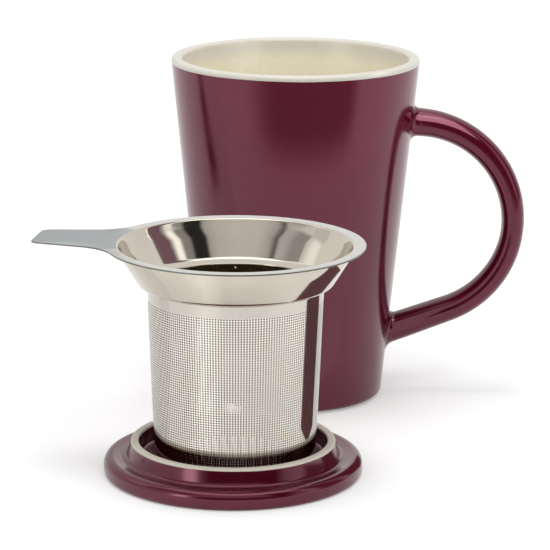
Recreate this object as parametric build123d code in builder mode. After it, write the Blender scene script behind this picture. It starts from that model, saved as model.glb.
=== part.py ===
"""Lidded stoneware tea mug with a steel infuser, laid out as it is presented.

The mug stands on its foot at the origin with its handle towards +X.  In front of it the lid lies
upside down as a drip dish, and the infuser stands on the lid's floor, inside the locating ring.
"""

from build123d import *
from math import degrees
import os

# ---- Mug, driving dimensions (mm) ----
MUG_HEIGHT = 129.0
LIP_RADIUS = 46.2  # outer face of the wall, carried up to the lip
BASE_RADIUS = 33.2  # the same face, carried down to the table
CLAY_THICKNESS = 3.0
LINING_THICKNESS = 1.2
LIP_GLAZE_HEIGHT = 1.9  # how far the pale lining laps down over the lip
LIP_ROUNDING = 1.35
CLAY_FLOOR = 7.0
BASE_ROUNDING = 2.8
CAVITY_ROUNDING = 8.0

FOOT_HEIGHT = 1.2
FOOT_OUTER_RADIUS = 29.4
FOOT_WIDTH = 4.6
FOOT_ROUNDING = 0.6

# ---- Handle: a straight lower leg, then two arcs that run up and over into the wall ----
HANDLE_START = (32.6, 23.4)  # X, Z inside the wall
LOWER_LEG_LENGTH = 27.4
LOWER_LEG_ANGLE = 20.0
LOWER_ARC_RADIUS = 36.2
UPPER_ARC_RADIUS = 37.6
UPPER_ARC_SIZE = 86.0
UPPER_LEG_LENGTH = 6.5
# Position along the handle, thickness in the plane of the loop, width across it
HANDLE_SECTIONS = (
    (0.0, 10.6, 13.0),
    (0.22, 9.4, 12.6),
    (0.5, 8.4, 11.8),
    (0.82, 9.6, 12.4),
    (1.0, 10.6, 13.0),
)
HANDLE_CORNER = 0.42  # corner radius as a share of the section's thickness
HANDLE_ROOT_FILLET = 2.5

# ---- Lid, upside down ----
LID_CENTRE = (-21.3, -100.0)
LID_RADIUS = 44.75
LID_THICKNESS = 7.3
LID_TOP_EDGE = 3.2
LID_RIM_EDGE = 2.8
LID_FLOOR = 5.0
DISH_OUTER_RADIUS = 40.6
DISH_OUTER_HEIGHT = 6.2
DISH_INNER_RADIUS = 38.0
DISH_INNER_HEIGHT = 5.8
DISH_BLEND = 6.0
RING_OUTER_RADIUS = 35.4
RING_WALL = 2.75
RING_HEIGHT = 11.7
RING_FLARE = 2.2
RING_EDGE_THICKNESS = 0.8
RING_EDGE_ROUNDING = 0.5

# ---- Infuser: stands loose inside the ring, a little off the lid's centre ----
INFUSER_CENTRE = (-20.6, -100.0)
RIM_HEIGHT = 80.8
RIM_RADIUS = 44.45
MOUTH_RADIUS = 40.2
WALL_BREAK = (38.4, 76.5)  # radius, height where the funnel wall steepens
LEDGE_RADIUS = 32.95
LEDGE_HEIGHT = 67.8
COLLAR_LENGTH = 1.8
STEEL = 0.6
FUNNEL_BENDS = (1.0, 25.0, 3.0, 1.0)  # mouth, wall break, ledge, collar

TAB_DIRECTION = 171.0  # degrees from +X
TAB_REACH = 69.6  # from the infuser's axis to the tip
TAB_TIP_WIDTH = 18.6
TAB_ROOT_WIDTH = 31.0
TAB_ROOT_REACH = 34.0
TAB_FLARE = 18.0
TAB_CORNER = 3.0

SLEEVE_STEEL = 0.5
SLEEVE_TOP_RADIUS = 30.25
SLEEVE_BASE_RADIUS = 27.8
SLEEVE_CORNER = 4.0
BASE_DISC_RADIUS = 23.8
HOLE_SIZE = 2.4
HOLE_COLUMNS = 20
HOLE_ROWS = 6
FIRST_ROW = 7.5  # above the sleeve's floor
LAST_ROW = 53.5
BASE_HOLE_RINGS = ((7.0, 6), (14.0, 12), (21.0, 18))  # radius, count

# ---- Derived places ----
GLAZE_LINE = MUG_HEIGHT - LIP_GLAZE_HEIGHT
LID_PLANE = Plane(origin=(*LID_CENTRE, 0), x_dir=(1, 0, 0), z_dir=(0, -1, 0))
LID_AXIS = Axis((*LID_CENTRE, 0), (0, 0, 1))
INFUSER_PLANE = Plane(origin=(*INFUSER_CENTRE, 0), x_dir=(1, 0, 0), z_dir=(0, -1, 0))
INFUSER_AXIS = Axis((*INFUSER_CENTRE, 0), (0, 0, 1))
RING_INNER_RADIUS = RING_OUTER_RADIUS - RING_WALL
RING_BODY_TOP = RING_HEIGHT - RING_EDGE_THICKNESS
SLEEVE_FLOOR = LID_FLOOR + SLEEVE_STEEL
SLEEVE_TOP = LEDGE_HEIGHT - FUNNEL_BENDS[-1]
SLEEVE_TAPER = SLEEVE_TOP_RADIUS - SLEEVE_BASE_RADIUS
COLLAR_BOTTOM = LEDGE_HEIGHT - COLLAR_LENGTH


def wall_radius(height, inset):
    """Radius of the mug's tapered wall at a height, measured an inset inside its outer face."""
    return BASE_RADIUS + (LIP_RADIUS - BASE_RADIUS) * height / MUG_HEIGHT - inset


def tapered_bowl(inset, bottom, top, corner, mode=Mode.ADD):
    """Revolve a solid that follows the mug's taper, with a rounded corner at its bottom."""
    with BuildSketch(Plane.XZ) as profile:
        with BuildLine():
            side = FilletPolyline(
                (0, bottom),
                (wall_radius(bottom, inset), bottom),
                (wall_radius(top, inset), top),
                radius=corner,
            )
            Polyline(side @ 1, (0, top), (0, bottom))
        make_face()
    revolve(profile.sketch, axis=Axis.Z, mode=mode)


def sleeve_radius(height):
    """Radius of the sleeve's tapered outer face at a height, carried past both its ends."""
    return SLEEVE_BASE_RADIUS + SLEEVE_TAPER * (height - LID_FLOOR) / (SLEEVE_TOP - LID_FLOOR)


# ---- Mug body: glazed stoneware wall and floor, cut off level below the lip ----
with BuildPart() as mug_body:
    tapered_bowl(0, FOOT_HEIGHT, GLAZE_LINE, BASE_ROUNDING)
    tapered_bowl(CLAY_THICKNESS, CLAY_FLOOR, GLAZE_LINE, CAVITY_ROUNDING, Mode.SUBTRACT)

# ---- Lining: the pale glaze inside the mug, which also forms the rounded lip ----
LINING_INSET = CLAY_THICKNESS + LINING_THICKNESS
LINING_ROUNDING = CAVITY_ROUNDING - LINING_THICKNESS
with BuildPart() as mug_lining:
    tapered_bowl(CLAY_THICKNESS, CLAY_FLOOR, GLAZE_LINE, CAVITY_ROUNDING)
    tapered_bowl(0, GLAZE_LINE, MUG_HEIGHT, 0)
    tapered_bowl(LINING_INSET, CLAY_FLOOR + LINING_THICKNESS, MUG_HEIGHT, LINING_ROUNDING, Mode.SUBTRACT)
    fillet(mug_lining.edges().group_by(Axis.Z)[-1], LIP_ROUNDING)

# ---- Foot: the bare ring that the mug stands on ----
with BuildPart() as mug_foot:
    with BuildSketch():
        Circle(FOOT_OUTER_RADIUS)
        Circle(FOOT_OUTER_RADIUS - FOOT_WIDTH, mode=Mode.SUBTRACT)
    extrude(amount=FOOT_HEIGHT)
    fillet(mug_foot.edges().group_by(Axis.Z)[0], FOOT_ROUNDING)

# ---- Handle: a rounded section that swells towards both roots, blended into the wall ----
with BuildPart() as mug_handle:
    with BuildLine(Plane.XZ) as handle_line:
        lower_leg = PolarLine(HANDLE_START, LOWER_LEG_LENGTH, LOWER_LEG_ANGLE)
        lower_arc = JernArc(lower_leg @ 1, lower_leg % 1, LOWER_ARC_RADIUS, 90 - LOWER_LEG_ANGLE)
        upper_arc = JernArc(lower_arc @ 1, lower_arc % 1, UPPER_ARC_RADIUS, UPPER_ARC_SIZE)
        Line(upper_arc @ 1, upper_arc @ 1 + (upper_arc % 1) * UPPER_LEG_LENGTH)
    handle_path = handle_line.wires()[0]
    for position, thickness, width in HANDLE_SECTIONS:
        section_plane = Plane(
            origin=handle_path @ position,
            x_dir=(0, 1, 0),
            z_dir=handle_path % position,
        )
        with BuildSketch(section_plane):
            RectangleRounded(width, thickness, thickness * HANDLE_CORNER)
    sweep(path=handle_path, multisection=True)
    tapered_bowl(0, FOOT_HEIGHT, MUG_HEIGHT, BASE_ROUNDING)
    fillet(mug_handle.edges(Select.NEW), HANDLE_ROOT_FILLET)
    tapered_bowl(0, FOOT_HEIGHT, MUG_HEIGHT, BASE_ROUNDING, Mode.SUBTRACT)

# ---- Lid disc: glazed flange with a raised rim, and the floor that the infuser stands on ----
with BuildPart() as lid_disc:
    with BuildSketch(LID_PLANE):
        with BuildLine():
            outline = FilletPolyline(
                (0, 0),
                (LID_RADIUS, 0),
                (LID_RADIUS, LID_THICKNESS),
                (DISH_OUTER_RADIUS, DISH_OUTER_HEIGHT),
                (DISH_INNER_RADIUS, DISH_INNER_HEIGHT),
                radius=(LID_TOP_EDGE, LID_RIM_EDGE, DISH_BLEND),
            )
            Polyline(outline @ 1, (DISH_INNER_RADIUS, LID_FLOOR), (0, LID_FLOOR), (0, 0))
        make_face()
    revolve(axis=LID_AXIS)

# ---- Lid ring: locates the lid in the infuser's mouth, and flares into the dish ----
with BuildPart() as lid_ring:
    with BuildSketch(LID_PLANE):
        with BuildLine():
            outer_face = FilletPolyline(
                (DISH_INNER_RADIUS, DISH_INNER_HEIGHT),
                (RING_OUTER_RADIUS, DISH_INNER_HEIGHT),
                (RING_OUTER_RADIUS, RING_BODY_TOP),
                radius=RING_FLARE,
            )
            Polyline(
                outer_face @ 1,
                (RING_INNER_RADIUS, RING_BODY_TOP),
                (RING_INNER_RADIUS, LID_FLOOR),
                (DISH_INNER_RADIUS, LID_FLOOR),
                outer_face @ 0,
            )
        make_face()
    revolve(axis=LID_AXIS)

# ---- Ring edge: the bare, unglazed top of the ring ----
with BuildPart() as lid_ring_edge:
    with BuildSketch(LID_PLANE):
        with Locations((RING_INNER_RADIUS, RING_BODY_TOP)):
            Rectangle(RING_WALL, RING_EDGE_THICKNESS, align=(Align.MIN, Align.MIN))
    revolve(axis=LID_AXIS)
    fillet(lid_ring_edge.edges().group_by(Axis.Z)[-1], RING_EDGE_ROUNDING)

# ---- Funnel: one pressing of rim, handle tab, bowed wall, ledge and a collar that grips the sleeve ----
RIM_PLANE = Plane(origin=(*INFUSER_CENTRE, RIM_HEIGHT - STEEL)).rotated((0, 0, TAB_DIRECTION))
with BuildPart() as infuser_funnel:
    with BuildSketch(INFUSER_PLANE):
        with BuildLine():
            FilletPolyline(
                (RIM_RADIUS, RIM_HEIGHT),
                (MOUTH_RADIUS, RIM_HEIGHT),
                WALL_BREAK,
                (LEDGE_RADIUS, LEDGE_HEIGHT),
                (sleeve_radius(LEDGE_HEIGHT), LEDGE_HEIGHT),
                (sleeve_radius(COLLAR_BOTTOM), COLLAR_BOTTOM),
                radius=FUNNEL_BENDS,
            )
            offset(amount=STEEL, side=Side.LEFT)
        make_face()
    revolve(axis=INFUSER_AXIS)
    with BuildSketch(RIM_PLANE) as rim_sheet:
        Circle(RIM_RADIUS)
        with BuildLine():
            Polyline(
                (TAB_ROOT_REACH, TAB_ROOT_WIDTH / 2),
                (TAB_REACH, TAB_TIP_WIDTH / 2),
                (TAB_REACH, -TAB_TIP_WIDTH / 2),
                (TAB_ROOT_REACH, -TAB_ROOT_WIDTH / 2),
                close=True,
            )
        make_face()
        fillet(rim_sheet.vertices().group_by(Axis.X)[-1], TAB_CORNER)
        fillet(rim_sheet.vertices().group_by(Axis.X)[0], TAB_FLARE)
        Circle(MOUTH_RADIUS + FUNNEL_BENDS[0], mode=Mode.SUBTRACT)
    extrude(amount=STEEL)

# ---- Hole column: one upright row of punches, with radial sides so that each hole has straight edges ----
with BuildPart() as hole_column:
    with BuildSketch(Plane.XZ):
        with Locations((SLEEVE_TOP_RADIUS, SLEEVE_FLOOR + (FIRST_ROW + LAST_ROW) / 2)):
            with GridLocations(0, (LAST_ROW - FIRST_ROW) / (HOLE_ROWS - 1), 1, HOLE_ROWS):
                Rectangle(2 * (SLEEVE_TAPER + 2 * SLEEVE_STEEL), HOLE_SIZE)
    revolve(axis=Axis.Z, revolution_arc=degrees(HOLE_SIZE / SLEEVE_TOP_RADIUS))

# ---- Sleeve: a slightly tapered tube, turned in at its foot and pierced all round by the column ----
with BuildPart() as infuser_sleeve:
    with BuildSketch(INFUSER_PLANE):
        with BuildLine():
            outside = FilletPolyline(
                (SLEEVE_TOP_RADIUS, SLEEVE_TOP),
                (SLEEVE_BASE_RADIUS, LID_FLOOR),
                (BASE_DISC_RADIUS, LID_FLOOR),
                radius=SLEEVE_CORNER,
            )
            inside = FilletPolyline(
                (BASE_DISC_RADIUS, SLEEVE_FLOOR),
                (SLEEVE_BASE_RADIUS - SLEEVE_STEEL, SLEEVE_FLOOR),
                (SLEEVE_TOP_RADIUS - SLEEVE_STEEL, SLEEVE_TOP),
                radius=SLEEVE_CORNER - SLEEVE_STEEL,
            )
            Line(outside @ 1, inside @ 0)
            Line(inside @ 1, outside @ 0)
        make_face()
    revolve(axis=INFUSER_AXIS)
    with Locations((*INFUSER_CENTRE, 0)):
        with PolarLocations(0, HOLE_COLUMNS):
            add(hole_column.part, mode=Mode.SUBTRACT)

# ---- Base: the disc that closes the sleeve, pierced in rings round a middle hole ----
with BuildPart() as infuser_base:
    with BuildSketch(Plane((*INFUSER_CENTRE, LID_FLOOR))):
        Circle(BASE_DISC_RADIUS)
        Rectangle(HOLE_SIZE, HOLE_SIZE, mode=Mode.SUBTRACT)
        for ring_radius, count in BASE_HOLE_RINGS:
            with PolarLocations(ring_radius, count):
                Rectangle(HOLE_SIZE, HOLE_SIZE, mode=Mode.SUBTRACT)
    extrude(amount=SLEEVE_STEEL)

# ---- Labels and export, one STEP per sub-part ----
SUB_PARTS = {
    "mug_body": mug_body,
    "mug_lining": mug_lining,
    "mug_foot": mug_foot,
    "mug_handle": mug_handle,
    "lid_disc": lid_disc,
    "lid_ring": lid_ring,
    "lid_ring_edge": lid_ring_edge,
    "infuser_funnel": infuser_funnel,
    "infuser_sleeve": infuser_sleeve,
    "infuser_base": infuser_base,
}
os.makedirs("parts", exist_ok=True)
for node_name, sub_part in SUB_PARTS.items():
    sub_part.part.label = node_name
    export_step(sub_part.part, f"parts/{node_name}.step")
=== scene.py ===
"""Lidded stoneware tea mug with a steel infuser: the looks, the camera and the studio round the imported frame.

Sizes are in millimetres and become metres through MM where a mesh is made.
"""

import math

import bpy
import numpy as np
from mathutils import Matrix, Vector
from mathutils.geometry import delaunay_2d_cdt


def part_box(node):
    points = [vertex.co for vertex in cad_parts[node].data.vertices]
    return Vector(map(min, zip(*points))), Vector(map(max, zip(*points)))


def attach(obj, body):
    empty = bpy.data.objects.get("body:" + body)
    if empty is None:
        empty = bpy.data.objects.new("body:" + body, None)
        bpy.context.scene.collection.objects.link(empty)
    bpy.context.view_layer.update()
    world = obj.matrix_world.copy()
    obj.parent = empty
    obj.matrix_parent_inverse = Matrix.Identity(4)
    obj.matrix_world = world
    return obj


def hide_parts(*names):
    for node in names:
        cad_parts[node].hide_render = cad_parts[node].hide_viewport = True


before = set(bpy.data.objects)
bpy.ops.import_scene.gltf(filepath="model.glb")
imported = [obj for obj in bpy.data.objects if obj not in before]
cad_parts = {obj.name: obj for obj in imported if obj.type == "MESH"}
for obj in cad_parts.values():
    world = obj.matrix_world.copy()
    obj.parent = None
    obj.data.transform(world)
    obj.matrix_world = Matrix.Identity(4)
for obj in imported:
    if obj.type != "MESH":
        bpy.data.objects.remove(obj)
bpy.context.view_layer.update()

MM = 0.001
SEGMENTS = 256  # round each turned piece
CORNER_STEPS = 10  # along each rounded corner of a profile

# ---- Places taken from the frame, in mm ----
_, mug_high = (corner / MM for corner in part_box("mug_lining"))
lid_low, lid_high = (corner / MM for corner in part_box("lid_disc"))
sleeve_low, sleeve_high = (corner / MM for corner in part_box("infuser_sleeve"))
_, rim_high = (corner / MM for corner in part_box("infuser_funnel"))
MUG_HEIGHT = mug_high.z
LID_CENTRE = ((lid_low.x + lid_high.x) / 2, (lid_low.y + lid_high.y) / 2)
INFUSER_CENTRE = ((sleeve_low.x + sleeve_high.x) / 2, (sleeve_low.y + sleeve_high.y) / 2)
RIM_HEIGHT = rim_high.z

# ---- Mug ----
LIP_RADIUS = 46.2
BASE_RADIUS = 33.2
WALL = 4.2
GLAZE_LINE_DROP = 1.9
LIP_ROUNDING = 1.5
BASE_ROUNDING = 2.2
MUG_FLOOR = 8.2
FOOT_HEIGHT = 0.6
FOOT_OUTER_RADIUS = 29.4
FOOT_INNER_RADIUS = 24.8
FOOT_ROUNDINGS = (0.2, 0.3, 0.3)  # from the middle outwards
FLOOR_ROUNDING = 6.8  # where the inner wall meets the floor

# ---- Handle ----
HANDLE_START = (32.6, 23.4)
LOWER_LEG_LENGTH = 27.4
LOWER_LEG_ANGLE = 20.0
LOWER_ARC_RADIUS = 36.2
UPPER_ARC_RADIUS = 37.6
UPPER_ARC_SIZE = 86.0
UPPER_LEG_LENGTH = 6.5
ROOT_FILLET = 2.4
HANDLE_MARKS = (0.0, 0.22, 0.5, 0.82, 1.0)  # shares of the way from the lower root up
HANDLE_THICKNESS = (10.6, 9.4, 8.4, 9.6, 10.6)  # at each mark
HANDLE_WIDTH = (13.0, 12.6, 11.8, 12.4, 13.0)
HANDLE_POINTS = 64  # round the section
HANDLE_POWER = 2.25  # the section's superellipse power; 2 is an ellipse
FILLET_STEPS = 9
ROOT_DEPTH = 2.0  # how far each end goes on inside the wall
ROOT_TAPER = 0.1  # and the share of its width it loses there

# ---- Lid ----
LID_RADIUS = 44.75
LID_THICKNESS = 7.3
LID_SHELF = (40.6, 6.2)  # radius and height where the rounded rim runs out
LID_GULLEY = (37.3, 5.7)  # and where the ring's wall rises
LID_ROUNDINGS = (1.6, 2.8, 6.0, 1.8)  # at the face below, the rim, the shelf and the gulley
RING_OUTER_RADIUS = 35.4
RING_INNER_RADIUS = 32.65
RING_HEIGHT = 11.7
RING_BARE_DEPTH = 0.8
RING_ROUNDINGS = (0.62, 0.55)  # outer and inner corner of its top
LID_FLOOR = 5.0
RECESS_ROUNDING = 1.5

# ---- Infuser ----
RIM_RADIUS = 44.45
FLAT_RADIUS = 43.3  # the rim's sheet is turned from here inwards, and follows the tab's outline outside
MOUTH_RADIUS = 40.2
WALL_BREAK = (38.4, 76.5)  # radius and height where the funnel's wall steepens
FUNNEL_ROUNDINGS = (1.2, 25.0, 2.4, 0.3)  # at the mouth, the break, the ledge and the throat
STEEL = 0.6
CUT_ROUNDING = 0.16  # along the cut edge of the sheet
LEDGE_HEIGHT = 67.8
LEDGE_RADIUS = 32.95
THROAT_HEIGHT = 66.6
COLLAR_BOTTOM = 66.0
TAB_DIRECTION = math.radians(171.0)
TAB_REACH = 69.6
TAB_TIP_HALF = 9.3
TAB_ROOT_REACH = 34.0
TAB_ROOT_HALF = 15.5
TAB_FLARE = 18.0
TAB_CORNER = 3.0
FLARE_STEPS = 24
TAB_LOOK_START = 1.5  # how far past the rim's circle the tab's own steel begins
CUT_LOOK_DEPTH = 0.04  # how far below the rim's top the painted shadow on the cut edge begins
FLAT_LOOK_DEPTH = 0.1  # and the look of the flat rim ends
SLEEVE_STEEL = 0.5
SLEEVE_TOP = 66.4
SLEEVE_TOP_RADIUS = 30.25
SLEEVE_BASE_RADIUS = 27.8
SLEEVE_CORNER = 4.0
CURL_TOP = 19.0  # the sleeve's face turns in a little from here down to its rounded foot
CURL_LEAN = 0.10
SLEEVE_COLUMNS = 196
SLEEVE_ROWS = 63
SLEEVE_PANELS = 4
TOP_HOLE_ROW = 61.75
ROW_PITCH = 0.844
HOLE_RADIUS = 0.30
BASE_DISC_RADIUS = 23.8
BASE_PITCH = 1.3
BASE_HOLE_RADIUS = 0.33
BASE_MARGIN = 1.0
WELD_HEIGHT = 65.0
WELD_OFFSET = -0.5  # along x from the infuser's axis
WELD_RADIUS = 0.55
WELD_RISE = 0.35


# =====================================================================================
# Mesh helpers
# =====================================================================================
def wall_radius(height, inset=0.0):
    """The mug's tapered outer radius at a height, less an inset."""
    return BASE_RADIUS + (LIP_RADIUS - BASE_RADIUS) * height / MUG_HEIGHT - inset


def polar(centre, radius, angle, height):
    """The point at a radius and an angle round a vertical axis."""
    return centre[0] + radius * math.cos(angle), centre[1] + radius * math.sin(angle), height


def rounded(points, radii, steps=CORNER_STEPS):
    """An open line through the points, with each inner corner rounded to its radius."""
    line = [points[0]]
    for before, corner, after, radius in zip(points, points[1:], points[2:], radii):
        c = Vector(corner)
        a, b = (Vector(before) - c).normalized(), (Vector(after) - c).normalized()
        half = a.angle(b) / 2
        start, end = c + a * (radius / math.tan(half)), c + b * (radius / math.tan(half))
        centre = c + (a + b).normalized() * (radius / math.sin(half))
        swing = (start - centre).angle_signed(end - centre)
        for step in range(steps + 1):
            arm = start - centre
            arm.rotate(Matrix.Rotation(-swing * step / steps, 2))
            line.append(tuple(centre + arm))
    line.append(points[-1])
    return line


def new_object(name, vertices, faces, face_materials=None, materials=(), sharp=40.0):
    """A smooth-shaded mesh object from vertices in mm."""
    mesh = bpy.data.meshes.new(name)
    mesh.from_pydata([tuple(c * MM for c in v) for v in vertices], [], faces)
    for material in materials:
        mesh.materials.append(material)
    if face_materials is not None:
        mesh.polygons.foreach_set("material_index", face_materials)
    mesh.validate()
    mesh.polygons.foreach_set("use_smooth", [True] * len(mesh.polygons))
    mesh.set_sharp_from_angle(angle=math.radians(sharp))
    mesh.update()
    piece = bpy.data.objects.new(name, mesh)
    bpy.context.scene.collection.objects.link(piece)
    return piece


def lathe(name, profile, centre=(0.0, 0.0), zones=None, materials=(), wave=None, sharp=40.0):
    """Turns a closed (radius, height) profile about a vertical axis.

    zones holds one material index for each profile stretch, and wave moves a profile point up and
    down round the axis as wave(index, angle).
    """
    vertices, rings = [], []
    for index, (radius, height) in enumerate(profile):
        if radius < 1e-6:
            rings.append([len(vertices)])
            vertices.append((centre[0], centre[1], height))
            continue
        rings.append(list(range(len(vertices), len(vertices) + SEGMENTS)))
        for k in range(SEGMENTS):
            angle = 2 * math.pi * k / SEGMENTS
            lift = wave(index, angle) if wave else 0.0
            vertices.append(polar(centre, radius, angle, height + lift))
    faces, face_zones = [], []
    for index, ring in enumerate(rings):
        following = rings[(index + 1) % len(rings)]
        if len(ring) == 1 and len(following) == 1:
            continue
        for k in range(SEGMENTS):
            after = (k + 1) % SEGMENTS
            if len(ring) == 1:
                faces.append((ring[0], following[after], following[k]))
            elif len(following) == 1:
                faces.append((ring[k], ring[after], following[0]))
            else:
                faces.append((ring[k], ring[after], following[after], following[k]))
            face_zones.append(zones[index] if zones else 0)
    return new_object(name, vertices, faces, face_zones, materials, sharp)


def dress(piece, body, slot, *nodes):
    """The piece rides on a body and stands for CAD nodes. The slot is not used."""
    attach(piece, body)
    if nodes:
        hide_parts(*nodes)
    return piece


# =====================================================================================
# Materials
# =====================================================================================
def material(name):
    """A node material, its tree and its Principled shader."""
    made = bpy.data.materials.new(name)
    made.use_nodes = True
    return made, made.node_tree, made.node_tree.nodes["Principled BSDF"]


def noise(tree, scale, detail=3.0, stretch=(1, 1, 1)):
    """A noise texture in object space, in metres."""
    place = tree.nodes.new("ShaderNodeTexCoord")
    mapping = tree.nodes.new("ShaderNodeMapping")
    mapping.inputs["Scale"].default_value = stretch
    texture = tree.nodes.new("ShaderNodeTexNoise")
    texture.inputs["Scale"].default_value = scale
    texture.inputs["Detail"].default_value = detail
    tree.links.new(place.outputs["Object"], mapping.inputs["Vector"])
    tree.links.new(mapping.outputs["Vector"], texture.inputs["Vector"])
    return texture.outputs["Fac"]


def ramp(tree, factor, *stops):
    """A colour ramp through (position, colour) stops."""
    node = tree.nodes.new("ShaderNodeValToRGB")
    elements = node.color_ramp.elements
    stops = sorted(stops, key=lambda stop: stop[0])
    elements[0].position, elements[0].color = stops[0][0], (*stops[0][1], 1)
    elements[1].position, elements[1].color = stops[-1][0], (*stops[-1][1], 1)
    for position, colour in stops[1:-1]:
        elements.new(position).color = (*colour, 1)
    tree.links.new(factor, node.inputs["Fac"])
    return node.outputs["Color"]


def spread(tree, factor, low, high):
    """Maps a noise factor, most of which lies between 0.3 and 0.7, to a range."""
    node = tree.nodes.new("ShaderNodeMapRange")
    node.inputs["From Min"].default_value = 0.3
    node.inputs["From Max"].default_value = 0.7
    node.inputs["To Min"].default_value = low
    node.inputs["To Max"].default_value = high
    tree.links.new(factor, node.inputs["Value"])
    return node.outputs["Result"]


def feed(tree, slot, value):
    """Gives an input a value: a link from another node's output, a number or a colour."""
    if isinstance(value, (int, float)):
        slot.default_value = value
    elif isinstance(value, tuple):
        slot.default_value = (*value, 1)
    else:
        tree.links.new(value, slot)


def mixed(tree, factor, first, second, blend="MIX"):
    """Mixes two colours by a factor. The factor may go past 1."""
    node = tree.nodes.new("ShaderNodeMix")
    node.data_type, node.blend_type, node.clamp_factor = "RGBA", blend, False
    for name, value in (("Factor", factor), ("A", first), ("B", second)):
        feed(tree, node.inputs[name], value)
    return node.outputs["Result"]


def arithmetic(tree, operation, *values):
    """A Math node over sockets or numbers."""
    node = tree.nodes.new("ShaderNodeMath")
    node.operation = operation
    for slot, value in zip(node.inputs, values):
        feed(tree, slot, value)
    return node.outputs[0]


def ray_kind(tree, *names):
    """1 for the named kinds of ray, 0 for the rest."""
    path = tree.nodes.new("ShaderNodeLightPath")
    total = path.outputs[names[0]]
    for name in names[1:]:
        total = arithmetic(tree, "MAXIMUM", total, path.outputs[name])
    return total


def place_parts(tree):
    """The object-space place, and its X, Y and Z outputs, in metres."""
    place = tree.nodes.new("ShaderNodeTexCoord").outputs["Object"]
    split = tree.nodes.new("ShaderNodeSeparateXYZ")
    tree.links.new(place, split.inputs["Vector"])
    return place, split.outputs


def stretched(tree, value, start, end, low, high):
    """Maps a socket's run from start to end onto low to high, smoothed and held at both ends."""
    node = tree.nodes.new("ShaderNodeMapRange")
    node.interpolation_type = "SMOOTHSTEP"
    for name, number in (("From Min", start), ("From Max", end), ("To Min", low), ("To Max", high)):
        node.inputs[name].default_value = number
    tree.links.new(value, node.inputs["Value"])
    return node.outputs["Result"]


def for_gloss(tree, plain, glossy):
    """One value for glossy rays and another for the rest."""
    node = tree.nodes.new("ShaderNodeMix")
    for name, value in (("Factor", ray_kind(tree, "Is Glossy Ray")), ("A", plain), ("B", glossy)):
        feed(tree, node.inputs[name], value)
    return node.outputs["Result"]


def by_bearing(tree, direction, table):
    """A ramp round the vertical axis through (bearing, level or colour) stops.

    Bearings are in degrees from the camera's side towards the right.
    """
    around = tree.nodes.new("ShaderNodeTexGradient")
    around.gradient_type = "RADIAL"
    tree.links.new(direction, around.inputs["Vector"])
    # The gradient's turn runs from 0 on the left through 0.25 towards the camera's side
    return ramp(tree, around.outputs["Fac"], *[
        ((bearing / 360 + 0.25) % 1, level if isinstance(level, tuple) else (level,) * 3)
        for bearing, level in table])


def bump(tree, shader, *layers):
    """Chains bumps, each a (height socket, strength, distance in mm)."""
    normal = None
    for height, strength, distance in layers:
        node = tree.nodes.new("ShaderNodeBump")
        node.inputs["Strength"].default_value = strength
        node.inputs["Distance"].default_value = distance * MM
        tree.links.new(height, node.inputs["Height"])
        if normal:
            tree.links.new(normal, node.inputs["Normal"])
        normal = node.outputs["Normal"]
    tree.links.new(normal, shader.inputs["Normal"])


def burgundy_glaze():
    """Wine-coloured glaze with a warm gloss and a faint mottle, painted lighter towards the lip and darker
    lower down: painted light and shade, as if the upper wall caught more light.
    """
    made, tree, shader = material("burgundy_glaze")
    # Painted light and shade: the base colour runs from a darker tone low on the wall to a lighter one near the
    # lip.
    painted_light_rise = stretched(tree, place_parts(tree)[1]["Z"], 0.055, 0.115, 0.0, 1.0)
    cloud = noise(tree, 45.0, 4.0)
    deep = ramp(tree, cloud, (0.3, (0.066, 0.0006, 0.0080)), (0.7, (0.078, 0.0010, 0.0105)))
    light = ramp(tree, cloud, (0.3, (0.096, 0.0008, 0.0135)), (0.7, (0.111, 0.0014, 0.0165)))
    speck = ramp(tree, noise(tree, 1400.0, 2.0), (0.35, (0.8, 0.8, 0.8)), (0.6, (1, 1, 1)))
    colour = mixed(tree, 0.6, mixed(tree, painted_light_rise, deep, light), speck, "MULTIPLY")
    tree.links.new(colour, shader.inputs["Base Color"])
    tree.links.new(spread(tree, noise(tree, 90.0), 0.12, 0.17), shader.inputs["Roughness"])
    shader.inputs["Specular IOR Level"].default_value = 1.0
    shader.inputs["Specular Tint"].default_value = (1.0, 0.46, 0.60, 1)
    bump(tree, shader, (noise(tree, 150.0, 2.0), 0.12, 0.05), (noise(tree, 1500.0, 2.0), 0.08, 0.02))
    return made


def cream_glaze():
    """Glossy pale cream glaze, painted greyer at the lip: painted shade that holds down the extra light the
    up-facing lip catches.
    """
    made, tree, shader = material("cream_glaze")
    # Painted shade: the band at the lip is a darker copy of the cream glaze.
    painted_light_rise = stretched(tree, place_parts(tree)[1]["Z"], 0.120, 0.127, 0.0, 1.0)
    deep = ramp(tree, noise(tree, 40.0), (0.3, (0.94, 0.88, 0.70)), (0.7, (0.96, 0.91, 0.74)))
    lip = ramp(tree, noise(tree, 90.0), (0.3, (0.75, 0.71, 0.62)), (0.7, (0.79, 0.75, 0.67)))
    tree.links.new(mixed(tree, painted_light_rise, deep, lip), shader.inputs["Base Color"])
    tree.links.new(spread(tree, noise(tree, 120.0), 0.2, 0.3), shader.inputs["Roughness"])
    bump(tree, shader, (noise(tree, 220.0), 0.15, 0.05))
    return made


def bare_stoneware():
    """Unglazed clay: pale, sandy and matt."""
    made, tree, shader = material("bare_stoneware")
    sand = ramp(tree, noise(tree, 2200.0, 4.0), (0.3, (0.66, 0.60, 0.51)), (0.7, (0.84, 0.79, 0.71)))
    tree.links.new(sand, shader.inputs["Base Color"])
    tree.links.new(spread(tree, noise(tree, 300.0), 0.7, 0.85), shader.inputs["Roughness"])
    bump(tree, shader, (noise(tree, 1800.0, 4.0), 0.4, 0.06))
    return made


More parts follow.
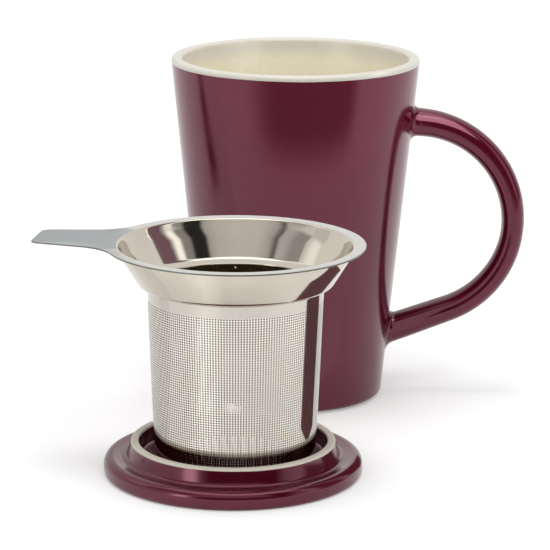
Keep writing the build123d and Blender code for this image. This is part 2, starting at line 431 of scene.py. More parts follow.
def steel(name, low, high, ripple, tint, metallic=1.0):
    """Stainless steel with roughness from low to high and a faint ripple left by the press."""
    made, tree, shader = material(name)
    shade = tuple(0.94 * c for c in tint)
    colour = ramp(tree, noise(tree, 60.0), (0.3, shade), (0.7, tint))
    tree.links.new(colour, shader.inputs["Base Color"])
    shader.inputs["Metallic"].default_value = metallic
    tree.links.new(spread(tree, noise(tree, 500.0, 4.0, (1, 1, 6)), low, high), shader.inputs["Roughness"])
    bump(tree, shader, (noise(tree, 70.0, 1.0), ripple, 0.6),
         (noise(tree, 900.0, 3.0, (1, 1, 8)), 0.05, 0.02))
    return made


BURGUNDY = burgundy_glaze()
CREAM = cream_glaze()
BARE = bare_stoneware()
POLISHED = steel("polished_steel", 0.05, 0.09, 0.06, (0.59, 0.545, 0.465))
PIERCED = steel("pierced_steel", 0.06, 0.10, 0.02, (0.74, 0.705, 0.635))
PLAIN = steel("plain_steel", 0.05, 0.09, 0.02, (0.58, 0.545, 0.485))
# Painted shade: the sleeve's inner face and the walls of its holes are near-black steel, standing for the shade
# inside the infuser.
PAINTED_SHADE_INSIDE = steel("painted_shade_inside_steel", 0.20, 0.28, 0.02, (0.10, 0.065, 0.03))
# Painted light: the base disc is a whiter, less metallic copy of the steel, so that it shows bright through the
# foot's holes.
LIT_BASE_STEEL = steel("painted_light_base_steel", 0.40, 0.50, 0.02, (0.86, 0.84, 0.80), 0.3)
SATIN = steel("satin_steel", 0.27, 0.33, 0.02, (0.65, 0.635, 0.60))
TAB_STEEL = steel("tab_steel", 0.40, 0.48, 0.02, (0.44, 0.465, 0.465))
# Painted shadow: the cut edge below the rim's top is dark steel, standing for the thin shadow line under the
# rim.
SHADOW_EDGE_STEEL = steel("painted_shadow_edge_steel", 0.30, 0.40, 0.02, (0.20, 0.195, 0.18))


# =====================================================================================
# Mug
# =====================================================================================
def hand_dipped(depth, seed):
    """A slow, uneven wave round the axis, for the line where one glaze meets another."""
    return lambda angle: depth * (
        math.sin(3 * angle + seed)
        + 0.6 * math.sin(7 * angle + 2.1 * seed)
        + 0.35 * math.sin(17 * angle + 4 * seed))


def make_mug():
    """The mug's wall, floor and foot in one turned mesh, with a zone for each glaze."""
    glaze_line = MUG_HEIGHT - GLAZE_LINE_DROP
    foot = rounded(
        [(0, FOOT_HEIGHT), (FOOT_INNER_RADIUS, FOOT_HEIGHT), (FOOT_INNER_RADIUS, 0), (FOOT_OUTER_RADIUS, 0),
         (FOOT_OUTER_RADIUS, FOOT_HEIGHT)],
        FOOT_ROUNDINGS, steps=6)
    outer = rounded(
        [(FOOT_OUTER_RADIUS, FOOT_HEIGHT), (wall_radius(FOOT_HEIGHT), FOOT_HEIGHT),
         (wall_radius(glaze_line), glaze_line)],
        (BASE_ROUNDING,))
    lip = rounded(
        [(wall_radius(glaze_line), glaze_line), (wall_radius(MUG_HEIGHT), MUG_HEIGHT),
         (wall_radius(MUG_HEIGHT, WALL), MUG_HEIGHT), (wall_radius(MUG_FLOOR, WALL), MUG_FLOOR),
         (0, MUG_FLOOR)],
        (LIP_ROUNDING * 0.93, LIP_ROUNDING, FLOOR_ROUNDING), steps=14)
    profile, zones = [], []
    for line, zone in ((foot[:-1], 2), (outer[:-1], 0), (lip, 1)):
        profile += line
        zones += [zone] * len(line)
    dipped = len(foot) + len(outer) - 2  # the first point of the cream glaze
    line_wave = hand_dipped(0.05, 1.3)
    return lathe("mug_shell", profile, (0, 0), zones, (BURGUNDY, CREAM, BARE),
                 lambda index, angle: line_wave(angle) if index == dipped else 0.0)


def handle_stations(step=0.8):
    """Points and directions along the middle of the handle, in the X, Z plane, from the lower root up."""
    stations = []

    def straight(start, angle, length):
        direction = Vector((math.cos(angle), math.sin(angle)))
        count = max(1, round(length / step))
        for k in range(count):
            stations.append((start + direction * (length * k / count), angle))
        return start + direction * length

    def arc(start, angle, radius, size):
        centre = start + Vector((-math.sin(angle), math.cos(angle))) * radius
        count = round(radius * size / step)
        for k in range(count):
            turned = angle + size * k / count
            stations.append((centre + Vector((math.sin(turned), -math.cos(turned))) * radius, turned))
        last = angle + size
        return centre + Vector((math.sin(last), -math.cos(last))) * radius, last

    lean = math.radians(LOWER_LEG_ANGLE)
    place = straight(Vector(HANDLE_START), lean, LOWER_LEG_LENGTH)
    place, angle = arc(place, lean, LOWER_ARC_RADIUS, math.pi / 2 - lean)
    place, angle = arc(place, angle, UPPER_ARC_RADIUS, math.radians(UPPER_ARC_SIZE))
    end = straight(place, angle, UPPER_LEG_LENGTH)
    stations.append((end, angle))
    return stations


def handle_size(share):
    """The section's half thickness and half width at a share of the way along the handle."""
    return tuple(np.interp(share, HANDLE_MARKS, sizes) / 2 for sizes in (HANDLE_THICKNESS, HANDLE_WIDTH))


def make_handle():
    """A rounded-rectangle section swept along the loop, with a true fillet where each root meets the wall."""
    around = HANDLE_POINTS
    stations = handle_stations()
    count = len(stations)

    def outline(index, swell):
        (place, angle), (half_thick, half_wide) = stations[index], handle_size(index / (count - 1))
        normal = Vector((-math.sin(angle), math.cos(angle)))
        points = []
        for k in range(around):
            turn = 2 * math.pi * k / around
            c, s = math.cos(turn), math.sin(turn)
            across = (half_wide + swell) * math.copysign(abs(c) ** (2 / HANDLE_POWER), c)
            up = (half_thick + swell) * math.copysign(abs(s) ** (2 / HANDLE_POWER), s)
            xz = place + normal * up
            points.append(Vector((xz.x, across, xz.y)))
        return points

    def gap(point):
        """Distance outside the mug's wall."""
        slope = (LIP_RADIUS - BASE_RADIUS) / MUG_HEIGHT
        return (math.hypot(point.x, point.y) - wall_radius(point.z)) / math.hypot(1, slope)

    def slid(point, direction, target):
        """Moves a point along a direction until it stands the target distance off the wall."""
        probe = 0.05
        for _ in range(6):
            rate = (gap(point + direction * probe) - gap(point)) / probe
            point = point + direction * ((target - gap(point)) / rate)
        return point

    clear = [min(gap(p) for p in outline(i, 0.0)) > ROOT_FILLET for i in range(count)]
    first, last = clear.index(True), count - 1 - clear[::-1].index(True)
    rings = [outline(i, 0.0) for i in range(first, last + 1)]
    for at_end, index in ((0, first), (1, last)):
        angle = stations[index][1]
        direction = Vector((math.cos(angle), 0, math.sin(angle)))
        for k in range(FILLET_STEPS + 1):
            turn = math.pi / 2 * k / FILLET_STEPS
            off, swell = ROOT_FILLET * (1 - math.sin(turn)), ROOT_FILLET * (1 - math.cos(turn))
            ring = [slid(p, direction, off) for p in outline(index, swell)]
            rings.insert(at_end * len(rings), ring)
        # The end closes on itself a little inside the wall
        inner = [p + Vector((-ROOT_DEPTH, -p.y * ROOT_TAPER, 0)) for p in ring]
        rings.insert(at_end * len(rings), inner)
    vertices = [tuple(p) for ring in rings for p in ring]
    faces = []
    for i in range(len(rings) - 1):
        for k in range(around):
            a, b = i * around + k, i * around + (k + 1) % around
            faces.append((a, b, b + around, a + around))
    faces.append(tuple(range(around)))
    faces.append(tuple(reversed(range(len(vertices) - around, len(vertices)))))
    return new_object("mug_handle_loop", vertices, faces, None, (BURGUNDY,))


# =====================================================================================
# Lid
# =====================================================================================
def make_lid():
    """The lid in one turned mesh: glazed disc and ring, bare along the ring's top."""
    glazed_top = RING_HEIGHT - RING_BARE_DEPTH
    outside = rounded(
        [(0, 0), (LID_RADIUS, 0), (LID_RADIUS, LID_THICKNESS), LID_SHELF, LID_GULLEY,
         (RING_OUTER_RADIUS, glazed_top)],
        LID_ROUNDINGS)
    edge = rounded(
        [(RING_OUTER_RADIUS, glazed_top), (RING_OUTER_RADIUS, RING_HEIGHT), (RING_INNER_RADIUS, RING_HEIGHT),
         (RING_INNER_RADIUS, glazed_top)],
        RING_ROUNDINGS, steps=8)
    inside = rounded(
        [(RING_INNER_RADIUS, glazed_top), (RING_INNER_RADIUS, LID_FLOOR), (0, LID_FLOOR)],
        (RECESS_ROUNDING,))
    profile, zones, marks = [], [], []
    for line, zone in ((outside[:-1], 0), (edge[:-1], 1), (inside, 0)):
        marks.append(len(profile))
        profile += line
        zones += [zone] * len(line)
    waves = {marks[1]: hand_dipped(0.06, 0.4), marks[2]: hand_dipped(0.06, 2.2)}
    return lathe("lid_dish", profile, LID_CENTRE, zones, (BURGUNDY, BARE),
                 lambda index, angle: waves[index](angle) if index in waves else 0.0)


# =====================================================================================
# Infuser
# =====================================================================================
def rim_outline():
    """The outer edge of the rim sheet as (angle, radius) about the axis, tab included."""
    half_taper = math.atan2(TAB_ROOT_HALF - TAB_TIP_HALF, TAB_REACH - TAB_ROOT_REACH)
    side_start = Vector((TAB_ROOT_REACH, TAB_ROOT_HALF))
    along = Vector((math.cos(half_taper), -math.sin(half_taper)))
    away = Vector((math.sin(half_taper), math.cos(half_taper)))
    # Centre of the flare: one radius off the tab's side, and one radius off the rim's circle
    reach = RIM_RADIUS + TAB_FLARE
    base = side_start + away * TAB_FLARE
    middle = base.dot(along)
    flare = base + along * (-middle + math.sqrt(middle * middle - base.length_squared + reach * reach))
    on_rim = flare * (RIM_RADIUS / reach)
    on_side = flare - away * TAB_FLARE
    upper = []
    start = math.atan2(*(on_rim - flare).yx)
    end = math.atan2(*(on_side - flare).yx)
    swing = (end - start + math.pi) % (2 * math.pi) - math.pi
    for k in range(FLARE_STEPS + 1):
        turn = start + swing * k / FLARE_STEPS
        upper.append(flare + Vector((math.cos(turn), math.sin(turn))) * TAB_FLARE)
    tip = rounded([tuple(on_side), (TAB_REACH, TAB_TIP_HALF), (TAB_REACH, 0)], (TAB_CORNER,), steps=12)[1:]
    upper += [Vector(p) for p in tip]
    half = [(math.atan2(p.y, p.x), p.length) for p in upper]
    span = 2 * math.pi - 2 * half[0][0]
    plain = round(SEGMENTS * span / (2 * math.pi))
    points = [(-a, r) for a, r in half] + [(a, r) for a, r in reversed(half[:-1])]
    points += [(half[0][0] + span * k / plain, RIM_RADIUS) for k in range(1, plain)]
    return [(angle + TAB_DIRECTION, radius) for angle, radius in points]


def make_funnel():
    """Rim, tab, bowed wall, ledge and collar as one pressed sheet."""
    sheet = [(FLAT_RADIUS, RIM_HEIGHT), (MOUTH_RADIUS, RIM_HEIGHT), WALL_BREAK, (LEDGE_RADIUS, LEDGE_HEIGHT),
             (sleeve_radius(THROAT_HEIGHT), THROAT_HEIGHT), (sleeve_radius(COLLAR_BOTTOM), COLLAR_BOTTOM)]
    top = rounded(sheet, FUNNEL_ROUNDINGS, steps=12)
    normals = []
    for i in range(len(top)):
        before, after = Vector(top[max(i - 1, 0)]), Vector(top[min(i + 1, len(top) - 1)])
        along = (after - before).normalized()
        normals.append(Vector((-along.y, along.x)))
    under = [tuple(Vector(p) + n * STEEL) for p, n in zip(top, normals)][::-1]
    edge, part = CUT_ROUNDING, CUT_ROUNDING * 0.3
    # The sheet's section: up over the cut edge, in along the top, back underneath. Points at the edge
    # are offsets from the outline and the rim's height, the others are (radius, height)
    loop = [("edge", p) for p in ((0.0, -edge), (-part, -part), (-edge, 0.0))]
    loop += [("turned", p) for p in top + under]
    loop += [("edge", p) for p in ((-edge, -STEEL), (-part, part - STEEL), (0.0, edge - STEEL))]
    outline = rim_outline()
    count = len(outline)
    vertices, heights = [], []
    for kind, (out, up) in loop:
        heights.append(RIM_HEIGHT + up if kind == "edge" else up)
        for angle, radius in outline:
            r = radius + out if kind == "edge" else out
            vertices.append(polar(INFUSER_CENTRE, r, angle, heights[-1]))
    tab_look = RIM_RADIUS + TAB_LOOK_START
    on_tab = [min(outline[k][1], outline[(k + 1) % count][1]) > tab_look for k in range(count)]
    faces, zones = [], []
    for i in range(len(loop)):
        j = (i + 1) % len(loop)
        lower, upper = sorted((heights[i], heights[j]))
        cut = loop[i][0] == loop[j][0] == "edge" and upper < RIM_HEIGHT - CUT_LOOK_DEPTH
        flat = lower > RIM_HEIGHT - FLAT_LOOK_DEPTH
        for k in range(count):
            after = (k + 1) % count
            faces.append((i * count + k, j * count + k, j * count + after, i * count + after))
            # The cut edge takes the dark steel of the painted shadow line.
            if cut:
                zones.append(2)
            elif flat:
                zones.append(3 if on_tab[k] else 1)
            else:
                zones.append(0)
    steels = (POLISHED, SATIN, SHADOW_EDGE_STEEL, TAB_STEEL)
    return new_object("infuser_funnel_press", vertices, faces, zones, steels, sharp=50.0)


def sleeve_radius(height):
    """Radius of the sleeve's tapered outer face at a height, carried past both its ends."""
    slope = (SLEEVE_TOP_RADIUS - SLEEVE_BASE_RADIUS) / (SLEEVE_TOP - LID_FLOOR)
    return SLEEVE_BASE_RADIUS + slope * (height - LID_FLOOR)


def sleeve_levels():
    """The sleeve's outer line from its foot up, as (radius, height, normal), and the first row with holes."""
    foot, corner, top = ((BASE_DISC_RADIUS, LID_FLOOR), (SLEEVE_BASE_RADIUS, LID_FLOOR),
                         (SLEEVE_TOP_RADIUS, SLEEVE_TOP))
    bend = rounded([foot, corner, top], (SLEEVE_CORNER,))[:-1]
    heights = [TOP_HOLE_ROW + ROW_PITCH * (0.5 - k) for k in range(SLEEVE_ROWS, -1, -1)]
    line = bend + [(sleeve_radius(height), height) for height in heights] + [top]
    levels = []
    for index, point in enumerate(line):
        before, after = line[max(index - 1, 0)], line[min(index + 1, len(line) - 1)]
        along = (Vector(after) - Vector(before)).normalized()
        levels.append((*point, Vector((along.y, -along.x))))
    return levels, len(bend)


def make_sleeve_panel(panel):
    """One quarter of the sleeve's sheet, with an eight-sided hole right through each cell of its grid."""
    columns = SLEEVE_COLUMNS // SLEEVE_PANELS
    levels, first_row = sleeve_levels()
    first = panel * columns
    step = 2 * math.pi / SLEEVE_COLUMNS

    def at(column, radius, height):
        return polar(INFUSER_CENTRE, radius, step * column, height)

    vertices, faces, zones = [], [], []
    across = columns + 1
    for inset in (0.0, SLEEVE_STEEL):
        for radius, height, normal in levels:
            inner_radius, inner_height = radius - inset * normal.x, height - inset * normal.y
            vertices += [at(first + c, inner_radius, inner_height) for c in range(across)]
    grid = len(levels) * across

    def corner(side, row, column):
        return side * grid + row * across + column

    for row in range(len(levels) - 1):
        middle = (levels[row][1] + levels[row + 1][1]) / 2
        radius = sleeve_radius(middle)
        for c in range(columns):
            low_left, low_right = (row, c), (row, c + 1)
            high_left, high_right = (row + 1, c), (row + 1, c + 1)
            if not first_row <= row < first_row + SLEEVE_ROWS:
                faces.append([corner(0, *p) for p in (low_left, low_right, high_right, high_left)])
                faces.append([corner(1, *p) for p in (low_left, high_left, high_right, low_right)])
                zones += [2, 1]
                continue
            hole = []
            for inset in (0.0, SLEEVE_STEEL):
                hole.append(len(vertices))
                for k in range(8):
                    turn = math.pi / 4 * (k + 0.5)
                    height = middle + HOLE_RADIUS * math.sin(turn)
                    vertices.append(at(first + c + 0.5 + HOLE_RADIUS * math.cos(turn) / (step * radius),
                                       sleeve_radius(height) - inset, height))
            ringed = (high_right, high_left, low_left, low_right)
            for side, flip in ((0, False), (1, True)):
                h = hole[side]
                for q in range(4):
                    here, ahead = corner(side, *ringed[q]), corner(side, *ringed[(q + 1) % 4])
                    start, middle_point, end = h + 2 * q, h + (2 * q + 1) % 8, h + (2 * q + 2) % 8
                    wedge, quad = [here, middle_point, start], [here, ahead, end, middle_point]
                    faces += [wedge[::-1], quad[::-1]] if flip else [wedge, quad]
                    zones += [side, side]
            for k in range(8):
                a, b = k, (k + 1) % 8
                faces.append([hole[0] + a, hole[0] + b, hole[1] + b, hole[1] + a])
                zones.append(1)
    for row, flip in ((0, False), (len(levels) - 1, True)):
        for c in range(columns):
            face = [corner(0, row, c), corner(1, row, c), corner(1, row, c + 1), corner(0, row, c + 1)]
            faces.append(face[::-1] if flip else face)
            zones.append(2)
    name = f"infuser_sleeve_panel_{panel + 1}"
    piece = new_object(name, vertices, faces, zones, (PIERCED, PAINTED_SHADE_INSIDE, PLAIN), sharp=60.0)
    round_normals(piece)
    return piece


def round_normals(piece):
    """Gives the sheet's two faces the true normals of the sleeve, so that its cells don't show as facets."""
    mesh = piece.data
    slope = (SLEEVE_TOP_RADIUS - SLEEVE_BASE_RADIUS) / (SLEEVE_TOP - LID_FLOOR)
    bend_top = sleeve_levels()[0][CORNER_STEPS + 1][1] * MM
    loops, polygons = len(mesh.loops), len(mesh.polygons)
    place = np.empty(len(mesh.vertices) * 3, np.float32)
    mesh.vertices.foreach_get("co", place)
    index = np.empty(loops, np.int32)
    mesh.loops.foreach_get("vertex_index", index)
    totals = np.empty(polygons, np.int32)
    mesh.polygons.foreach_get("loop_total", totals)
    flat = np.empty(polygons * 3, np.float32)
    mesh.polygons.foreach_get("normal", flat)
    flat = np.repeat(flat.reshape(-1, 3), totals, axis=0)
    spot = place.reshape(-1, 3)[index]
    radial = spot - np.array([INFUSER_CENTRE[0] * MM, INFUSER_CENTRE[1] * MM, 0])
    reach = np.hypot(radial[:, 0], radial[:, 1])
    # On the rounded foot the normal points away from the bend's centre, and above it from the cone
    drop = np.minimum(spot[:, 2] - bend_top, 0.0)
    out = np.where(drop < 0, reach - BASE_DISC_RADIUS * MM, 1.0)
    curl = np.clip((CURL_TOP * MM - spot[:, 2]) / (CURL_TOP * MM - bend_top), 0.0, 1.0)
    lean = np.where(drop < 0, drop, -slope - CURL_LEAN * curl)
    true = np.stack([radial[:, 0] / reach * out, radial[:, 1] / reach * out, lean], axis=1)
    true /= np.maximum(np.linalg.norm(true, axis=1, keepdims=True), 1e-9)
    facing = np.einsum("ij,ij->i", flat, true)
    normals = np.where((facing > 0.8)[:, None], true, np.where((facing < -0.8)[:, None], -true, flat))
    mesh.normals_split_custom_set(normals.tolist())


def make_base():
    """The base disc, pierced with a square grid of small holes inside a plain margin."""
    margin = BASE_DISC_RADIUS - BASE_MARGIN
    step = 2 * math.pi / SLEEVE_COLUMNS
    loops = [[polar((0, 0), BASE_DISC_RADIUS, step * k, 0)[:2] for k in range(SLEEVE_COLUMNS)]]
    reach = int(margin / BASE_PITCH)
    for i in range(-reach, reach + 1):
        for j in range(-reach, reach + 1):
            x, y = i * BASE_PITCH, j * BASE_PITCH
            if math.hypot(x, y) + BASE_HOLE_RADIUS > margin:
                continue
            loops.append([polar((x, y), BASE_HOLE_RADIUS, math.pi / 4 * (0.5 - k), 0)[:2] for k in range(8)])
    points = [Vector(p) for loop in loops for p in loop]
    outlines, start = [], 0
    for loop in loops:
        outlines.append(list(range(start, start + len(loop))))
        start += len(loop)
    flat, _, triangles, _, _, _ = delaunay_2d_cdt(points, [], outlines, 3, 1e-6)
    count = len(flat)
    vertices = [(INFUSER_CENTRE[0] + p.x, INFUSER_CENTRE[1] + p.y, z)
                for z in (LID_FLOOR + SLEEVE_STEEL, LID_FLOOR) for p in flat]
    faces = [list(t) for t in triangles] + [[v + count for v in reversed(t)] for t in triangles]
    directed = {(t[k], t[(k + 1) % len(t)]) for t in triangles for k in range(len(t))}
    for a, b in directed:
        if (b, a) not in directed:
            faces.append([a, a + count, b + count, b])
    return new_object("infuser_base_disc", vertices, faces, None, (LIT_BASE_STEEL,))


def make_weld():
    """The small bead of weld that shows at the back of the throat, on the sleeve's plain band."""
    around, rings = 16, 5
    middle = (INFUSER_CENTRE[0] + WELD_OFFSET, INFUSER_CENTRE[1] + sleeve_radius(WELD_HEIGHT) - SLEEVE_STEEL)
    vertices = []
    for ring in range(rings):
        lift = math.pi / 2 * ring / rings
        for k in range(around):
            turn = 2 * math.pi * k / around
            radius = WELD_RADIUS * math.cos(lift)
            sunk = 0.02 if ring == 0 else 0.0  # the bead's foot goes into the wall
            vertices.append((middle[0] + radius * math.cos(turn),
                             middle[1] - WELD_RISE * math.sin(lift) + sunk,
                             WELD_HEIGHT + radius * math.sin(turn)))
    vertices.append((middle[0], middle[1] - WELD_RISE, WELD_HEIGHT))
    faces = [list(range(around))]
    for ring in range(rings - 1):
        for k in range(around):
            a, b = ring * around + k, ring * around + (k + 1) % around
            faces.append([a, a + around, b + around, b])
    last = (rings - 1) * around
    faces += [[last + k, len(vertices) - 1, last + (k + 1) % around] for k in range(around)]
    return new_object("infuser_weld_bead", vertices, faces, None, (SATIN,))


dress(make_mug(), "mug", "burgundy_glaze", "mug_body", "mug_lining", "mug_foot")
dress(make_handle(), "mug", "burgundy_glaze", "mug_handle")
dress(make_lid(), "lid", "burgundy_glaze", "lid_disc", "lid_ring", "lid_ring_edge")
dress(make_funnel(), "infuser", "polished_steel", "infuser_funnel")
for panel in range(SLEEVE_PANELS):
    dress(make_sleeve_panel(panel), "infuser", "pierced_steel", "infuser_sleeve")
dress(make_base(), "infuser", "pierced_steel", "infuser_base")
dress(make_weld(), "infuser", "polished_steel")


# =====================================================================================
# Camera, floor, light
# =====================================================================================
FOCAL_PIXELS = 2749.1  # at an image width of 550
IMAGE_WIDTH = 550
SENSOR_WIDTH = 36.0
CAMERA_PLACE = (-7.17, -1009.7, 294.4)
CAMERA_PITCH = math.radians(13.863)  # below the horizon
CAMERA_ROLL = math.radians(0.328)

# ---- Studio: lengths in metres, bearings in degrees from the camera's side towards the right ----
FLOOR_HALF = 6.0
FLOOR_SHADE = 0.82
FLOOR_GLOW = 0.3
# Gloss sees the floor go dark towards the camera, with one dark streak at the left, and change with the bearing
# from the infuser. The dark streak is a painted reflection of the infuser's tab in the mug's glaze.
FLOOR_DARK = 0.08
FLOOR_FADE = (-0.44, -0.33)  # y of the dark and of the pale end
DARK_STREAK_PLACE = (-0.255, -0.032)
DARK_STREAK_SLOPE = -0.48
DARK_STREAK_WIDTH = (0.014, 0.034)  # either side: dark up to the first, gone at the second
DARK_STREAK_ENDS = (-0.54, -0.42, -0.258, -0.247)  # x where it starts, is full, is full still and is gone
FLOOR_SWEEP = ((-180, 1.0), (-128, 0.92), (-106, 0.87), (-89, 0.97), (-61, 1.0), (-48, 1.1), (-36, 1.19),
               (-24, 1.12), (-13, 1.0), (33, 0.98), (57, 1.05), (85, 1.08), (110, 1.03))
WORLD_LIGHT = 0.7
# What gloss sees of the room, as (bearing, level or colour): ROOM_LOW below the first band of heights,
# ROOM_HIGH between the two bands, and the plain level ROOM_TOP above the second
# Painted reflection: the wine colour is a burgundy band in the room, standing for burgundy glaze mirrored in
# the steel.
PAINTED_WINE_REFLECTION = (0.24, 0.14, 0.19)
ROOM_LOW = ((-180, 0.72), (-120, 0.8), (-75, 0.9), (-56, 1.0), (-52, 4.0), (-42, 4.0), (-36, 0.7),
            (-26, 0.04), (48, 0.04), (60, 0.9), (80, 1.2), (84, 0.5), (88, PAINTED_WINE_REFLECTION), (112, PAINTED_WINE_REFLECTION), (116, 0.8))
ROOM_HIGH = ((-180, 1.0), (-136, 0.7), (-124, 0.85), (-113, 1.4), (-100, 1.3), (-92, 0.85), (-84, 0.42),
             (-76, 0.42), (-66, 0.62), (-58, 0.64), (-54, 0.12), (-51, 0.25), (-46, 0.55), (-30, 0.75),
             (0, 0.78), (25, 0.7), (37, 0.55), (41, 0.03), (58, 0.03), (62, 0.35), (71, 0.35), (75, 1.6),
             (80, 1.6), (84, 0.6), (87, PAINTED_WINE_REFLECTION), (113, PAINTED_WINE_REFLECTION), (117, 0.5), (130, 0.8), (145, 0.7))
ROOM_TOP = 2.2
ROOM_BANDS = ((23, 29), (56, 68))  # heights in degrees where each change begins and ends
# Two cards that only gloss sees, corners in mm: a pale one between the mug and the infuser, dusky high up
# on the mug's side, and a dark wine one at the infuser's right, a painted reflection of the burgundy mug in the
# steel
MIDDLE_CARD = ((-62, -51, 1), (50, -51, 1), (50, -51, 126), (-62, -51, 126))
MIDDLE_FRONT = (1.0, 1.0, 1.0)
MIDDLE_BACK = (1.2, 1.2, 1.2)
DUSK = (-0.019, 0.040, 0.015, 0.078, 0.112, 0.26)  # as dusk() takes them, in metres
WINE_REFLECTION_CARD = ((24.5, -88, 10), (29, -96, 2), (36.5, -107.5, 8), (36.5, -107.5, 62), (24.5, -88, 62))
WINE_REFLECTION_FRONT = (0.15, 0.07, 0.08)


def make_camera():
    """A level camera that looks along +Y and down, turned a touch about its own axis."""
    forward = Vector((0, math.cos(CAMERA_PITCH), -math.sin(CAMERA_PITCH)))
    right = Vector((1, 0, 0))
    up = right.cross(forward)
    leant_right = right * math.cos(CAMERA_ROLL) + up * math.sin(CAMERA_ROLL)
    leant_up = up * math.cos(CAMERA_ROLL) - right * math.sin(CAMERA_ROLL)
    data = bpy.data.cameras.new("camera")
    data.sensor_width = SENSOR_WIDTH
    data.lens = FOCAL_PIXELS * SENSOR_WIDTH / IMAGE_WIDTH
    camera = bpy.data.objects.new("camera", data)
    bpy.context.scene.collection.objects.link(camera)
    turned = Matrix((leant_right, leant_up, -forward)).transposed()
    camera.matrix_world = Matrix.Translation(Vector(CAMERA_PLACE) * MM) @ turned.to_4x4()
    bpy.context.scene.camera = camera


def make_floor():
    """A pale floor that keeps a soft shadow; gloss sees it fade into the dark room in front, and sees a painted
    reflection, a dark streak at the left.
    """
    reach = FLOOR_HALF / MM
    corners = [(-reach, -reach, 0), (reach, -reach, 0), (reach, reach, 0), (-reach, reach, 0)]
    floor = new_object("floor", corners, [(0, 1, 2, 3)])
    made, tree, shader = material("floor")
    place, part = place_parts(tree)
    near = stretched(tree, part["Y"], *FLOOR_FADE, FLOOR_DARK, 1.0)
    # Painted reflection: a dark streak on the floor, seen only by gloss, standing for the infuser's tab
    # mirrored in the mug's glaze.
    run = arithmetic(tree, "SUBTRACT", part["X"], DARK_STREAK_PLACE[0])
    line = arithmetic(tree, "MULTIPLY_ADD", run, DARK_STREAK_SLOPE, DARK_STREAK_PLACE[1])
    off = arithmetic(tree, "ABSOLUTE", arithmetic(tree, "SUBTRACT", part["Y"], line))
    within = arithmetic(tree, "MULTIPLY", stretched(tree, part["X"], *DARK_STREAK_ENDS[:2], 0.0, 1.0),
                        stretched(tree, part["X"], *DARK_STREAK_ENDS[2:], 1.0, 0.0))
    dark_streak = arithmetic(tree, "MULTIPLY", stretched(tree, off, *DARK_STREAK_WIDTH, 1.0, 0.0), within)
    about = tree.nodes.new("ShaderNodeMapping")
    about.inputs["Location"].default_value = (-INFUSER_CENTRE[0] * MM, -INFUSER_CENTRE[1] * MM, 0)
    tree.links.new(place, about.inputs["Vector"])
    sweep = by_bearing(tree, about.outputs["Vector"], FLOOR_SWEEP)
    glossy = arithmetic(tree, "MULTIPLY", arithmetic(tree, "MULTIPLY", near, sweep),
                        arithmetic(tree, "SUBTRACT", 1.0, dark_streak))
    shown = for_gloss(tree, 1.0, glossy)
    paint = mixed(tree, shown, (0.0, 0.0, 0.0), (FLOOR_SHADE,) * 3)
    tree.links.new(paint, shader.inputs["Base Color"])
    shader.inputs["Roughness"].default_value = 0.9
    shader.inputs["Specular IOR Level"].default_value = 0.0
    shader.inputs["Emission Color"].default_value = (1, 1, 1, 1)
    direct = ray_kind(tree, "Is Camera Ray", "Is Glossy Ray", "Is Transmission Ray")
    glow = arithmetic(tree, "MULTIPLY", arithmetic(tree, "MULTIPLY", direct, FLOOR_GLOW), shown)
    tree.links.new(glow, shader.inputs["Emission Strength"])
    floor.data.materials.append(made)


def make_world():
    """White to the camera, plain as a light, and a studio of pale walls and dark gaps to gloss."""
    world = bpy.data.worlds.new("studio")
    bpy.context.scene.world = world
    world.use_nodes = True
    tree = world.node_tree
    background = tree.nodes["Background"]
    direction = tree.nodes.new("ShaderNodeTexCoord").outputs["Generated"]
    split = tree.nodes.new("ShaderNodeSeparateXYZ")
    tree.links.new(direction, split.inputs["Vector"])
    above_low, above_high = (
        stretched(tree, split.outputs["Z"], *(math.sin(math.radians(height)) for height in band), 0.0, 1.0)
        for band in ROOM_BANDS)
    low, high = (by_bearing(tree, direction, table) for table in (ROOM_LOW, ROOM_HIGH))
    room = mixed(tree, above_high, mixed(tree, above_low, low, high), (ROOM_TOP,) * 3)
    colour = mixed(tree, ray_kind(tree, "Is Glossy Ray"), (1.0, 1.0, 1.0), room)
    tree.links.new(colour, background.inputs["Color"])
    seen = ray_kind(tree, "Is Camera Ray", "Is Glossy Ray", "Is Transmission Ray")
    tree.links.new(stretched(tree, seen, 0.0, 1.0, WORLD_LIGHT, 1.0), background.inputs["Strength"])


def dusk(tree, left, right, softness, start, full, level):
    """1, falling to a level in a soft patch between left and right, over the heights from start to full."""
    part = place_parts(tree)[1]
    across = arithmetic(
        tree, "MULTIPLY", stretched(tree, part["X"], left - softness, left + softness, 0.0, 1.0),
        stretched(tree, part["X"], right - softness, right + softness, 1.0, 0.0))
    inside = arithmetic(tree, "MULTIPLY", across, stretched(tree, part["Z"], start, full, 0.0, 1.0))
    return stretched(tree, inside, 0.0, 1.0, 1.0, level)


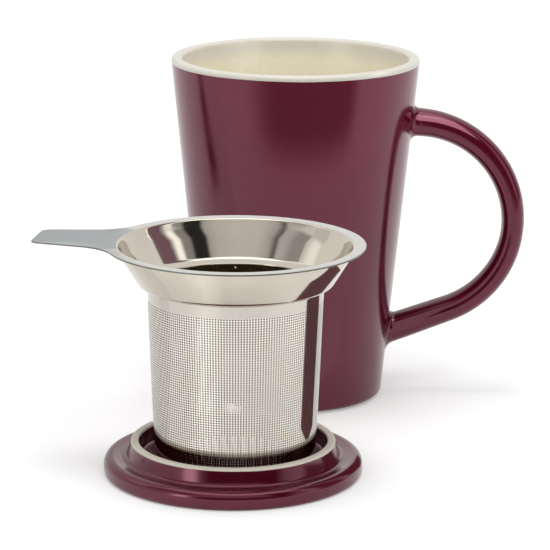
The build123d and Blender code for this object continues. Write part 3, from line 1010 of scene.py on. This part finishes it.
def make_card(name, corners, front, back, patch=None):
    """A flat card that only gloss sees, with a colour for each side, or None where it is clear.

    patch, as dusk() takes it, darkens the back.
    """
    card = new_object(name, corners, [tuple(range(len(corners)))])
    made, tree, shader = material(name)
    choice = tree.nodes.new("ShaderNodeMixShader")
    facing = tree.nodes.new("ShaderNodeNewGeometry")
    tree.links.new(facing.outputs["Backfacing"], choice.inputs["Fac"])
    for slot, look in ((1, front), (2, back)):
        if look is None:
            side = tree.nodes.new("ShaderNodeBsdfTransparent")
        else:
            side = tree.nodes.new("ShaderNodeEmission")
            feed(tree, side.inputs["Color"], look)
            if patch and slot == 2:
                feed(tree, side.inputs["Strength"], dusk(tree, *patch))
        tree.links.new(side.outputs[0], choice.inputs[slot])
    tree.nodes.remove(shader)
    tree.links.new(choice.outputs["Shader"], tree.nodes["Material Output"].inputs["Surface"])
    card.data.materials.append(made)
    card.visible_camera = card.visible_diffuse = card.visible_transmission = card.visible_shadow = False


def softbox(name, place, aim, size, power):
    """A square area light, placed and aimed in mm, with its power in watts."""
    data = bpy.data.lights.new(name, "AREA")
    data.shape, data.size, data.energy = "SQUARE", size * MM, power
    lamp = bpy.data.objects.new(name, data)
    bpy.context.scene.collection.objects.link(lamp)
    lamp.location = Vector(place) * MM
    lamp.rotation_euler = (Vector(aim) - Vector(place)).to_track_quat("-Z", "Y").to_euler()
    return lamp


make_camera()
make_floor()
make_world()
key = softbox("key", (620, -1000, 1500), (0, -50, 50), 460, 3.5)
top = softbox("top", (-60, -60, 1800), (-20, -90, 50), 700, 9.0)
key.visible_glossy = top.visible_glossy = False
# Only gloss sees this one: the long highlight on the handle
streak = softbox("streak", (72, -29, 145), (66, 0, 118), 52, 0.03)
streak.visible_diffuse = streak.visible_transmission = False
make_card("card_middle", MIDDLE_CARD, MIDDLE_FRONT, MIDDLE_BACK, DUSK)
# Painted reflection: the wine card stands for the burgundy mug mirrored in the infuser's steel.
make_card("card_wine_reflection", WINE_REFLECTION_CARD, WINE_REFLECTION_FRONT, None)
bpy.context.scene.view_settings.view_transform = "Standard"
